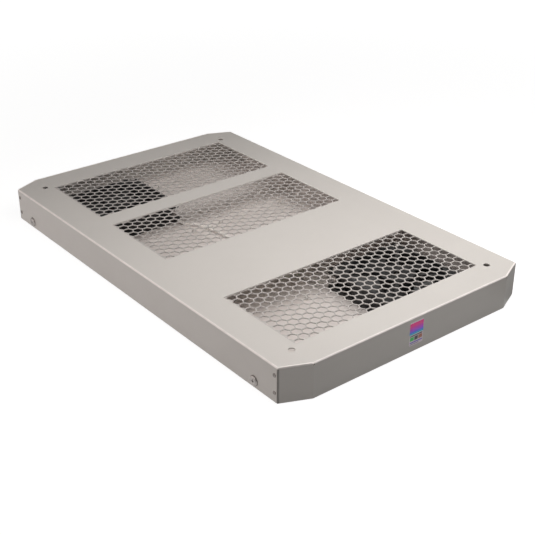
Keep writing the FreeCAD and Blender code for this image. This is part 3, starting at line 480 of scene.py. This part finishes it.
for fan in FANS:
    for piece, finish in FAN_FINISHES.items():
        CAD_FINISHES[f"{fan}_{piece}"] = finish
for name, finish in CAD_FINISHES.items():
    slots = NODES[name].data.materials
    if len(slots) == 0:
        slots.append(finish)
    for index in range(len(slots)):
        slots[index] = finish


# ---- modelling ------------------------------------------------------------------------------------------------------

# An edge or face counts as lying at a height if it is nearer to it than this, in metres.
NEAR = 1e-5
# It counts as pointing along an axis if that axis has more of its direction than this.
ALONG = 0.9


def add_shape(name, kind, **settings):
    """Adds a primitive as the start of a piece, with nothing else selected."""
    bpy.ops.object.select_all(action="DESELECT")
    getattr(bpy.ops.mesh, f"primitive_{kind}_add")(**settings)
    piece = bpy.context.object
    piece.name = name
    bpy.ops.object.transform_apply(location=True, rotation=True, scale=True)
    return piece


def select_only(*pieces):
    bpy.ops.object.select_all(action="DESELECT")
    for piece in pieces:
        piece.select_set(True)
    bpy.context.view_layer.objects.active = pieces[0]


def start_edit(piece):
    select_only(piece)
    bpy.ops.object.mode_set(mode="EDIT")
    bpy.ops.mesh.select_all(action="DESELECT")


def finish_edit():
    bpy.ops.object.mode_set(mode="OBJECT")


def pick(piece, kind, wanted):
    """In edit mode, selects only the faces or edges whose middle and direction pass a test."""
    bpy.ops.mesh.select_mode(type={"edges": "EDGE", "faces": "FACE"}[kind])
    bpy.ops.mesh.select_all(action="DESELECT")
    mesh = bmesh.from_edit_mesh(piece.data)
    for item in getattr(mesh, kind):
        if kind == "edges":
            start, end = (corner.co for corner in item.verts)
            chosen = wanted((start + end) / 2, (end - start).normalized())
        else:
            chosen = wanted(item.calc_center_median(), item.normal)
        item.select_set(chosen)
    mesh.select_flush_mode()
    bmesh.update_edit_mesh(piece.data)


def with_modifier(piece, kind, **settings):
    """Adds a modifier and applies it."""
    select_only(piece)
    modifier = piece.modifiers.new(kind.lower(), kind)
    for name, value in settings.items():
        setattr(modifier, name, value)
    bpy.ops.object.modifier_apply(modifier=modifier.name)


def repeated(piece, step, count):
    """Repeats a piece in a row."""
    with_modifier(piece, "ARRAY", count=count, use_relative_offset=False, use_constant_offset=True,
                  constant_offset_displace=step)


def cut_with(piece, cutter, crosses_itself=False):
    """Takes one shape out of another, and removes the shape that did the cutting."""
    with_modifier(piece, "BOOLEAN", operation="DIFFERENCE", solver="EXACT", object=cutter, use_self=crosses_itself)
    bpy.data.objects.remove(cutter)


def joined(pieces):
    """Makes several pieces one, under the name of the first."""
    select_only(*pieces)
    bpy.ops.object.join()
    return pieces[0]


def copies_at(piece, name, places):
    """Copies of a piece, each with its own mesh, turned and moved into place, then made one piece.

    Each place is (position, rotation about X, Y and Z in degrees).
    """
    made = []
    for position, turns in places:
        select_only(piece)
        bpy.ops.object.duplicate(linked=False)
        copy = bpy.context.object
        copy.location = position
        copy.rotation_euler = [math.radians(turn) for turn in turns]
        bpy.ops.object.transform_apply(location=True, rotation=True, scale=True)
        made.append(copy)
    bpy.data.objects.remove(piece)
    whole = joined(made)
    whole.name = name
    return whole


def smooth(piece, degrees):
    select_only(piece)
    bpy.ops.object.shade_smooth_by_angle(angle=math.radians(degrees))


def finish_piece(piece, body, finish, stands_for=()):
    """Gives a piece its finish and its body, and hides the CAD nodes that it stands for."""
    piece.data.materials.clear()
    piece.data.materials.append(finish)
    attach(piece, body)
    if stands_for:
        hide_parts(*stands_for)


def middle_of(name):
    low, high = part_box(name)
    return (low + high) / 2


# ---- perforated sheets ----------------------------------------------------------------------------------------------

HEX_PITCH = 0.012
HEX_RADIUS = 0.00617
COLUMN_STEP = HEX_PITCH * math.sqrt(3) / 2
HEX_COLUMNS = 27
HEX_ROWS = 11
# The first row lies this many rows before the middle of a window.
FIRST_ROW = 5.25
CUTTER_DEPTH = 0.004
SHEET_CORNER = 0.008
# How far each honeycomb lies off the middle of its window, across and along.
HONEYCOMB_SHIFTS = {"front": (0.0024, 0.0018), "middle": (0.0028, 0.0032), "rear": (0.0028, 0.005)}
WINDOW_HALF_LENGTH = 0.0624


def hexagon_columns(odd, shift_x, shift_y):
    """Every second column of hexagon cutters, cut off where the window ends."""
    columns = (HEX_COLUMNS + 1) // 2 - odd
    rows = HEX_ROWS + odd
    start_x = shift_x - COLUMN_STEP * (columns - 1)
    start_y = shift_y - HEX_PITCH * (FIRST_ROW + odd / 2)
    cutter = add_shape(
        "hexagon_cutter", "cylinder", vertices=6, radius=HEX_RADIUS, depth=CUTTER_DEPTH,
        location=(start_x, start_y, 0), rotation=(0, 0, math.pi / 2),
    )
    repeated(cutter, (0, HEX_PITCH, 0), rows)
    start_edit(cutter)
    for end in (-1, 1):
        bpy.ops.mesh.select_all(action="SELECT")
        bpy.ops.mesh.bisect(
            plane_co=(0, end * WINDOW_HALF_LENGTH, 0), plane_no=(0, end, 0), use_fill=True, clear_outer=True,
        )
    finish_edit()
    repeated(cutter, (2 * COLUMN_STEP, 0, 0), columns)
    return cutter


def make_perforated_sheet(place, shift_x, shift_y):
    """A painted steel sheet with a honeycomb of small hexagonal holes, under one window."""
    low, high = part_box(place + "_mesh")
    sheet = add_shape(place + "_honeycomb", "cube", size=1, scale=high - low)
    start_edit(sheet)
    pick(sheet, "edges", lambda middle, way: abs(way.z) > ALONG)
    bpy.ops.mesh.bevel(offset=SHEET_CORNER, segments=1)
    finish_edit()
    cut_with(sheet, joined([hexagon_columns(odd, shift_x, shift_y) for odd in (0, 1)]))
    select_only(sheet)
    sheet.location = middle_of(place + "_mesh")
    bpy.ops.object.transform_apply(location=True, rotation=True, scale=True)
    finish_piece(sheet, "housing", MESH_PAINT, stands_for=[place + "_mesh"])


for place, shifts in HONEYCOMB_SHIFTS.items():
    make_perforated_sheet(place, *shifts)


# ---- screws and rivets ----------------------------------------------------------------------------------------------

# A recess's arm against its head's radius, and how much narrower the arm is at its bottom.
ARM_SIZE = (0.95, 0.2, 0.55)
ARM_TAPER = (0.45, 0.6, 1)
SCREW_HEAD_RADIUS = 0.0036
SCREW_SHANK_RADIUS = 0.002
WASHER_RADIUS = 0.004
WASHER_HEIGHT = 0.0006
# The solids' side screw heads, which show where the finer heads belong.
SIDE_HEAD_RADIUS = 0.0063
SIDE_HEAD_HEIGHT = 0.0026
RIVET_RADIUS = 0.0024
RIVET_HEIGHT = 0.0008
# How far rims are rounded: a head's against its height, a shank's against its radius, and a washer's in metres.
HEAD_ROUNDING = 0.85
RIVET_ROUNDING = 0.8
SHANK_ROUNDING = 0.2
WASHER_ROUNDING = 0.00015
# The pit in a rivet's head: its rim's and its slope's width against the radius, and its depth against the height.
PIT_INSET = 0.45
PIT_SLOPE = 0.04
PIT_DEPTH = 0.5
# Where the fixing holes lie from the middle of a fan place.
HOLE_REACH = 0.0525
CORNER_SIGNS = [(1, 1), (-1, 1), (-1, -1), (1, -1)]
# How far the recesses are turned, in degrees: the first one, from one to the next, and from one plate to the next.
FIRST_TURN = 20
SCREW_TURN = 31
PLATE_TURN = 47


def cross_recess(radius, top):
    """A cutter for the cross-shaped recess of a screw head, narrower towards its bottom."""
    arm = add_shape("recess_arm", "cube", size=1, location=(0, 0, top), scale=[share * radius for share in ARM_SIZE])
    start_edit(arm)
    pick(arm, "faces", lambda middle, way: way.z < -ALONG)
    bpy.ops.transform.resize(value=ARM_TAPER, center_override=(0, 0, top))
    bpy.ops.mesh.select_all(action="SELECT")
    bpy.ops.mesh.duplicate()
    bpy.ops.transform.rotate(value=math.pi / 2, orient_axis="Z", center_override=(0, 0, top))
    finish_edit()
    return arm


def make_disc(name, radius, inner, outer, rounding, segments, vertices=32):
    """An upright disc from one height to another, with the rim at its outer end rounded."""
    disc = add_shape(
        name, "cylinder", vertices=vertices, radius=radius, depth=abs(outer - inner),
        location=(0, 0, (inner + outer) / 2),
    )
    start_edit(disc)
    pick(disc, "edges", lambda middle, way: abs(middle.z - outer) < NEAR)
    bpy.ops.mesh.bevel(offset=rounding, segments=segments)
    finish_edit()
    return disc


def make_screw(radius, height, shank_radius=0.0, shank_length=0.0, washer=0.0):
    """A pan-head screw that sits on the origin and points down, with a shank and a washer where they are given."""
    rise = WASHER_HEIGHT if washer else 0.0
    head = make_disc("screw_head", radius, rise, height, HEAD_ROUNDING * (height - rise), segments=6)
    cut_with(head, cross_recess(radius, height), crosses_itself=True)
    made = [head]
    if washer:
        made.append(make_disc("screw_washer", washer, 0.0, rise, WASHER_ROUNDING, segments=2))
    if shank_length:
        rounding = SHANK_ROUNDING * shank_radius
        made.append(make_disc("screw_shank", shank_radius, 0.0, -shank_length, rounding, segments=1, vertices=16))
    whole = joined(made)
    smooth(whole, degrees=35)
    return whole


def make_rivet(radius, height):
    """A blind rivet's domed head, with the small pit where its pin broke off."""
    head = make_disc("rivet_head", radius, 0.0, height, RIVET_ROUNDING * height, segments=4, vertices=24)
    start_edit(head)
    pick(head, "faces", lambda middle, way: way.z > ALONG and abs(middle.z - height) < NEAR)
    bpy.ops.mesh.inset(thickness=PIT_INSET * radius)
    bpy.ops.mesh.inset(thickness=PIT_SLOPE * radius, depth=-PIT_DEPTH * height)
    finish_edit()
    smooth(head, degrees=40)
    return head


def corners_round(middle, z, first_turn=FIRST_TURN):
    """The four fixing holes round the middle of a fan place, at a height, and how each screw is turned."""
    return [
        ((middle.x + sign_x * HOLE_REACH, middle.y + sign_y * HOLE_REACH, z), (0, 0, first_turn + SCREW_TURN * count))
        for count, (sign_x, sign_y) in enumerate(CORNER_SIGNS)
    ]


def wall_places(heights, height, radius, corner):
    """Where heads of a height and radius lie on both side walls, inside a box's corner and turned to face outward."""
    return [
        ((sign_x * (corner.x - height), sign_y * (corner.y - radius), z), (0, 90 * sign_x, 0))
        for sign_x, sign_y in CORNER_SIGNS
        for z in heights
    ]


def place_screws():
    """Screws and rivets with recesses and domed heads, in place of the solids' plain ones."""
    low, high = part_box("blank_screws")
    places = []
    for count, blank in enumerate(("front_left", "middle_left", "middle_right", "rear_right")):
        places += corners_round(middle_of(blank + "_blank"), low.z, FIRST_TURN + PLATE_TURN * count)
    screw = make_screw(SCREW_HEAD_RADIUS, high.z - low.z, washer=WASHER_RADIUS)
    screws = copies_at(screw, "blank_fixings", places)
    finish_piece(screws, "housing", ZINC, stands_for=["blank_screws"])

    for fan in FANS:
        low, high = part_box(fan + "_screws")
        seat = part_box(fan + "_frame")[1].z
        screw = make_screw(SCREW_HEAD_RADIUS, high.z - seat, SCREW_SHANK_RADIUS, seat - low.z)
        screws = copies_at(screw, fan + "_fixings", corners_round(middle_of(fan + "_frame"), seat))
        finish_piece(screws, "housing", DULL_ZINC, stands_for=[fan + "_screws"])

    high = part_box("side_screws")[1]
    places = wall_places([high.z - SIDE_HEAD_RADIUS], SIDE_HEAD_HEIGHT, SIDE_HEAD_RADIUS, high)
    screw = make_screw(radius=0.0062, height=0.0022, shank_radius=0.0025, shank_length=0.009)
    screws = copies_at(screw, "side_fixings", places)
    finish_piece(screws, "housing", DULL_ZINC, stands_for=["side_screws"])

    low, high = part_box("corner_rivets")
    places = wall_places([low.z + RIVET_RADIUS, high.z - RIVET_RADIUS], RIVET_HEIGHT, RIVET_RADIUS, high)
    rivets = copies_at(make_rivet(RIVET_RADIUS, RIVET_HEIGHT), "wall_rivets", places)
    finish_piece(rivets, "housing", RIVET_STEEL, stands_for=["corner_rivets"])


place_screws()


# ---- label ----------------------------------------------------------------------------------------------------------

# The label's middle and size, across and up.
LABEL_MIDDLE = (0.0, 0.023)
LABEL_SIZE = (0.021, 0.030)
LABEL_THICKNESS = 0.00016
LABEL_CORNER = 0.0012
LABEL_PAPER = linear(240, 226, 236)
# The colour fade: how far up it reaches, and its colours with their places.
FADE_REACH = (0.46, 0.95)
FADE_STEPS = ((0.46, (40, 214, 214)), (0.56, (70, 110, 250)), (0.68, (206, 60, 230)), (0.84, (255, 30, 150)))
# The plain blocks and rules: colour, then left, right, bottom and top.
LABEL_BLOCKS = (
    ((30, 26, 34), (0.05, 0.95, 0.38, 0.43)), ((40, 200, 90), (0.05, 0.34, 0.20, 0.36)),
    ((16, 16, 20), (0.37, 0.63, 0.20, 0.36)), ((170, 96, 70), (0.66, 0.95, 0.20, 0.36)),
    ((110, 90, 200), (0.05, 0.95, 0.10, 0.15)), ((120, 116, 140), (0.05, 0.70, 0.04, 0.07)),
)


def inside(tree, value, low, high):
    """1 where a value lies between two limits, and 0 elsewhere."""
    return maths(tree, "MULTIPLY", maths(tree, "GREATER_THAN", value, low), maths(tree, "LESS_THAN", value, high))


def make_label_print():
    """Generic print: a colour fade down the upper part, and plain blocks and rules below it."""
    made, tree, principled = new_material("label_print")
    x, _, z = object_axes(tree)
    across, up = (
        ramp(tree, axis, 0.0, 1.0, from_low=middle - size / 2, from_high=middle + size / 2)
        for axis, middle, size in zip((x, z), LABEL_MIDDLE, LABEL_SIZE)
    )
    fade = node(tree, "ShaderNodeValToRGB")
    join(tree, *up, fade, "Fac")
    stops = fade.color_ramp.elements
    while len(stops) < len(FADE_STEPS):
        stops.new(0.5)
    for stop, (position, colour) in zip(stops, FADE_STEPS):
        stop.position = position
        stop.color = (*linear(*colour), 1)
    shown = mix_colours(tree, inside(tree, up, *FADE_REACH), (*LABEL_PAPER, 1), (fade, "Color"))
    for colour, (left, right, bottom, top) in LABEL_BLOCKS:
        share = maths(tree, "MULTIPLY", inside(tree, across, left, right), inside(tree, up, bottom, top))
        shown = mix_colours(tree, share, shown, (*linear(*colour), 1))
    join(tree, *shown, principled, "Base Color")
    sheen = ramp(tree, noise_at(tree, scale=220.0, detail=2.0), 0.30, 0.38)
    join(tree, *sheen, principled, "Roughness")
    return made


def make_label():
    """A thin printed sticker with rounded corners, on the front wall."""
    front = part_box("top_cover")[0].y
    label = add_shape(
        "front_label", "cube", size=1, location=(LABEL_MIDDLE[0], front, LABEL_MIDDLE[1]),
        scale=(LABEL_SIZE[0], LABEL_THICKNESS, LABEL_SIZE[1]),
    )
    start_edit(label)
    pick(label, "edges", lambda middle, way: abs(way.y) > ALONG)
    bpy.ops.mesh.bevel(offset=LABEL_CORNER, segments=4)
    finish_edit()
    finish_piece(label, "housing", make_label_print())


make_label()


# ---- floor, lights and background -----------------------------------------------------------------------------------


FLOOR_SIZE = 30
FLOOR_DEPTH = 0.0005
# The floor gives no light of its own under the tray: this far in from its sides and from its ends.
DARK_INSET_X = 0.02
DARK_INSET_Y = 0.03
# How bright the floor looks of itself, and what it loses in mirrored light beyond a line near the right side.
FLOOR_GLOW = 0.88
MIRROR_LOSS = -0.75
MIRROR_INSET = 0.015
# What it gains far away, where the lights no longer reach it, and from where to where, in metres.
FAR_GLOW = 0.14
FAR_REACH = (0.5, 1.8)


def make_floor():
    """A matt floor that reads as white, and still darkens where the object shades it."""
    bpy.ops.mesh.primitive_plane_add(size=FLOOR_SIZE, location=(0, 0, -FLOOR_DEPTH))
    floor = bpy.context.object
    floor.name = "studio_floor"
    paper = bpy.data.materials.new("studio_paper")
    paper.use_nodes = True
    tree = paper.node_tree
    tree.nodes.clear()
    matt = node(tree, "ShaderNodeBsdfDiffuse", Color=(0.25, 0.25, 0.25, 1))
    rays = node(tree, "ShaderNodeLightPath")
    seen = maths(tree, "MAXIMUM", (rays, "Is Camera Ray"), (rays, "Is Glossy Ray"))
    seen = maths(tree, "MAXIMUM", seen, (rays, "Is Transmission Ray"))
    place = node(tree, "ShaderNodeTexCoord")
    x, y, _ = split(tree, (place, "Object"))
    open_x = maths(tree, "GREATER_THAN", maths(tree, "ABSOLUTE", x), CAD_BOX[1].x - DARK_INSET_X)
    open_y = maths(tree, "GREATER_THAN", maths(tree, "ABSOLUTE", y), CAD_BOX[1].y - DARK_INSET_Y)
    lit = maths(tree, "MULTIPLY", seen, maths(tree, "MAXIMUM", open_x, open_y))
    right_side = maths(tree, "GREATER_THAN", x, CAD_BOX[1].x - MIRROR_INSET)
    mirrored = maths(tree, "MULTIPLY", (rays, "Is Glossy Ray"), right_side)
    glow = maths(tree, "ADD", maths(tree, "MULTIPLY", mirrored, MIRROR_LOSS), FLOOR_GLOW)
    distance = node(tree, "ShaderNodeVectorMath", operation="LENGTH")
    join(tree, place, "Object", distance, 0)
    far_glow = ramp(tree, (distance, "Value"), 0.0, FAR_GLOW, *FAR_REACH)
    glow = maths(tree, "ADD", glow, maths(tree, "MULTIPLY", far_glow, (rays, "Is Camera Ray")))
    white = node(tree, "ShaderNodeEmission", Color=(1, 1, 1, 1))
    join(tree, *maths(tree, "MULTIPLY", lit, glow), white, "Strength")
    both = node(tree, "ShaderNodeAddShader")
    join(tree, matt, 0, both, 0)
    join(tree, white, 0, both, 1)
    out = node(tree, "ShaderNodeOutputMaterial")
    join(tree, both, 0, out, "Surface")
    floor.data.materials.append(paper)


def make_world():
    """A dim surround that looks white where it is seen directly."""
    world = bpy.data.worlds.new("studio_world")
    bpy.context.scene.world = world
    world.use_nodes = True
    tree = world.node_tree
    tree.nodes.clear()
    grey = node(tree, "ShaderNodeBackground", Color=(1.0, 0.99, 0.975, 1), Strength=0.14)
    rays = node(tree, "ShaderNodeLightPath")
    seen = maths(tree, "MAXIMUM", (rays, "Is Camera Ray"), (rays, "Is Transmission Ray"))
    white = node(tree, "ShaderNodeBackground", Color=(1, 1, 1, 1), Strength=1.0)
    mixed = node(tree, "ShaderNodeMixShader")
    join(tree, *seen, mixed, 0)
    join(tree, grey, 0, mixed, 1)
    join(tree, white, 0, mixed, 2)
    out = node(tree, "ShaderNodeOutputWorld")
    join(tree, mixed, 0, out, "Surface")


def soft_light(name, location, target, size, power, colour):
    """A rectangular area light of a size, in metres, that points at a target and isn't seen itself."""
    lamp = bpy.data.lights.new(name, "AREA")
    lamp.shape = "RECTANGLE"
    lamp.size, lamp.size_y = size
    lamp.energy = power
    lamp.color = colour
    holder = bpy.data.objects.new(name, lamp)
    bpy.context.scene.collection.objects.link(holder)
    holder.location = location
    toward = Vector(target) - Vector(location)
    holder.rotation_euler = toward.to_track_quat("-Z", "Y").to_euler()
    holder.visible_camera = False


make_floor()
make_world()
soft_light(
    "overhead_softbox", location=(0.175, -0.25, 0.5), target=(0.175, -0.25, 0), size=(0.7, 0.7), power=3.3,
    colour=(1.0, 0.98, 0.965),
)
soft_light(
    "front_softbox", location=(0.1, -0.75, 1.0), target=(0, 0, 0), size=(0.8, 0.8), power=0.45,
    colour=(1.0, 0.96, 0.93),
)
soft_light(
    "left_softbox", location=(-1.12, -0.25, 0.98), target=(0, 0, 0), size=(0.6, 0.6), power=5.1,
    colour=(1.0, 0.95, 0.94),
)
soft_light(
    "low_left_softbox", location=(-1.2, 0.5, 0.15), target=(-0.1, 0.1, 0), size=(0.6, 0.3), power=3.0,
    colour=(1.0, 0.91, 0.88),
)
soft_light(
    "rear_strip", location=(-0.75, 1.1, 0.95), target=(-0.1, 0, 0), size=(0.5, 0.15), power=0.2,
    colour=(1.0, 0.95, 0.95),
)

bpy.context.scene.view_settings.view_transform = "Standard"
